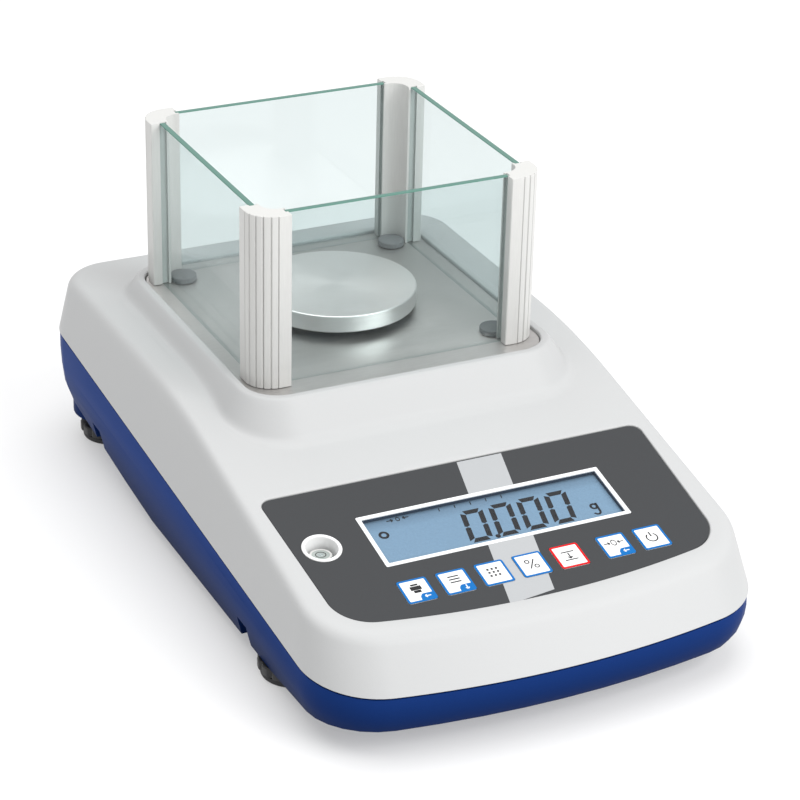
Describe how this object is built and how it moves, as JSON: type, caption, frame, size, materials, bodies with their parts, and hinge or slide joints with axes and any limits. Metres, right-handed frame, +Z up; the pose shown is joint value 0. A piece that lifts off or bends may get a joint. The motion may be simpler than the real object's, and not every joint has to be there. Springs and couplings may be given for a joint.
{
  "type": "analytical balance",
  "caption": "Bench laboratory balance with a round steel pan inside an open-topped glass draft shield, a sloping control panel and screw-adjusted levelling feet.",
  "frame": {"origin": "on the bench under the middle of the case", "axes": "+X to the operator's right, +Y from the operator to the back, +Z up"},
  "size_m": [0.2204, 0.3718, 0.1851],
  "materials": {
    "housing_grey": "light warm grey, fine matt moulding",
    "base_blue": "blue, satin moulding",
    "steel": "brushed stainless steel",
    "aluminium": "machined",
    "post_grey": "light grey extrusion, fluted corner",
    "rubber_dark": "dark grey rubber",
    "glass": "clear with a green edge",
    "panel_dark": "dark grey printed foil",
    "lcd": "backlit blue display",
    "board_green": "green circuit board",
    "key_white": "white, coloured border",
    "black_plastic": "black, moulded",
    "brass": "turned"
  },
  "bodies": {
    "case": {"base_tray": "base_blue", "upper_housing": "housing_grey", "panel_overlay": "panel_dark", "display_window": "glass", "lcd_module": "lcd", "keypad_board": "board_green", "level_cup": "key_white", "level_vial": "glass", "shield_plate": "steel", "pan_carrier": "aluminium", "load_cell": "aluminium", "load_cell_mount": "aluminium", "overload_stop": "brass", "main_board": "board_green", "dc_inlet": "black_plastic", "serial_port": "steel", "hook_plug": "black_plastic", "locating_disc_front_left": "rubber_dark", "locating_disc_front_right": "rubber_dark", "locating_disc_back_left": "rubber_dark", "locating_disc_back_right": "rubber_dark", "foot_insert_front_left": "brass", "foot_insert_front_right": "brass", "foot_insert_back_left": "brass", "foot_insert_back_right": "brass", "case_screw_front_left": "steel", "case_screw_front_right": "steel", "case_screw_back_left": "steel", "case_screw_back_right": "steel"},
    "pan": {"weighing_pan": "steel"},
    "draft_shield": {"shield_post_front_left": "post_grey", "shield_post_front_right": "post_grey", "shield_post_back_left": "post_grey", "shield_post_back_right": "post_grey", "glass_pane_front": "glass", "glass_pane_back": "glass", "glass_pane_left": "glass", "glass_pane_right": "glass"},
    "key_print": {"key_print": "key_white"},
    "key_mode": {"key_mode": "key_white"},
    "key_count": {"key_count": "key_white"},
    "key_percent": {"key_percent": "key_white"},
    "key_tare": {"key_tare": "key_white"},
    "key_zero": {"key_zero": "key_white"},
    "key_power": {"key_power": "key_white"},
    "pad_front_left": {"foot_pad_front_left": "rubber_dark"},
    "foot_front_left": {"levelling_foot_front_left": "black_plastic"},
    "pad_front_right": {"foot_pad_front_right": "rubber_dark"},
    "foot_front_right": {"levelling_foot_front_right": "black_plastic"},
    "pad_back_left": {"foot_pad_back_left": "rubber_dark"},
    "foot_back_left": {"levelling_foot_back_left": "black_plastic"},
    "pad_back_right": {"foot_pad_back_right": "rubber_dark"},
    "foot_back_right": {"levelling_foot_back_right": "black_plastic"}
  },
  "joints": [
    {"name": "pan_lift_off", "type": "slide", "parent": "case", "child": "pan", "axis": [0, 0, 1], "range_m": [0, 0.06]},
    {"name": "shield_lift_off", "type": "slide", "parent": "case", "child": "draft_shield", "axis": [0, 0, 1], "range_m": [0, 0.1]},
    {"name": "key_print_press", "type": "slide", "parent": "case", "child": "key_print", "axis": [0, 0.2045, -0.9789], "range_m": [0, 0.00045], "stiffness_N_per_m": 1500},
    {"name": "key_mode_press", "type": "slide", "parent": "case", "child": "key_mode", "axis": [0, 0.2045, -0.9789], "range_m": [0, 0.00045], "stiffness_N_per_m": 1500},
    {"name": "key_count_press", "type": "slide", "parent": "case", "child": "key_count", "axis": [0, 0.2045, -0.9789], "range_m": [0, 0.00045], "stiffness_N_per_m": 1500},
    {"name": "key_percent_press", "type": "slide", "parent": "case", "child": "key_percent", "axis": [0, 0.2045, -0.9789], "range_m": [0, 0.00045], "stiffness_N_per_m": 1500},
    {"name": "key_tare_press", "type": "slide", "parent": "case", "child": "key_tare", "axis": [0, 0.2045, -0.9789], "range_m": [0, 0.00045], "stiffness_N_per_m": 1500},
    {"name": "key_zero_press", "type": "slide", "parent": "case", "child": "key_zero", "axis": [0, 0.2045, -0.9789], "range_m": [0, 0.00045], "stiffness_N_per_m": 1500},
    {"name": "key_power_press", "type": "slide", "parent": "case", "child": "key_power", "axis": [0, 0.2045, -0.9789], "range_m": [0, 0.00045], "stiffness_N_per_m": 1500},
    {"name": "foot_front_left_extend", "type": "slide", "parent": "case", "child": "pad_front_left", "axis": [0, 0, -1], "range_m": [0, 0.005]},
    {"name": "foot_front_left_turn", "type": "hinge", "parent": "pad_front_left", "child": "foot_front_left", "pos_m": [-0.0905, -0.0941, 0.006], "axis": [0, 0, 1], "range_deg": [0, 1800]},
    {"name": "foot_front_right_extend", "type": "slide", "parent": "case", "child": "pad_front_right", "axis": [0, 0, -1], "range_m": [0, 0.005]},
    {"name": "foot_front_right_turn", "type": "hinge", "parent": "pad_front_right", "child": "foot_front_right", "pos_m": [0.0905, -0.0941, 0.006], "axis": [0, 0, 1], "range_deg": [0, 1800]},
    {"name": "foot_back_left_extend", "type": "slide", "parent": "case", "child": "pad_back_left", "axis": [0, 0, -1], "range_m": [0, 0.005]},
    {"name": "foot_back_left_turn", "type": "hinge", "parent": "pad_back_left", "child": "foot_back_left", "pos_m": [-0.085, 0.1579, 0.006], "axis": [0, 0, 1], "range_deg": [0, 1800]},
    {"name": "foot_back_right_extend", "type": "slide", "parent": "case", "child": "pad_back_right", "axis": [0, 0, -1], "range_m": [0, 0.005]},
    {"name": "foot_back_right_turn", "type": "hinge", "parent": "pad_back_right", "child": "foot_back_right", "pos_m": [0.085, 0.1579, 0.006], "axis": [0, 0, 1], "range_deg": [0, 1800]}
  ],
  "couplings": [
    {"joint": "foot_front_left_extend", "follows": "foot_front_left_turn", "m_per_rad": 0.00015915},
    {"joint": "foot_front_right_extend", "follows": "foot_front_right_turn", "m_per_rad": 0.00015915},
    {"joint": "foot_back_left_extend", "follows": "foot_back_left_turn", "m_per_rad": 0.00015915},
    {"joint": "foot_back_right_extend", "follows": "foot_back_right_turn", "m_per_rad": 0.00015915}
  ]
}
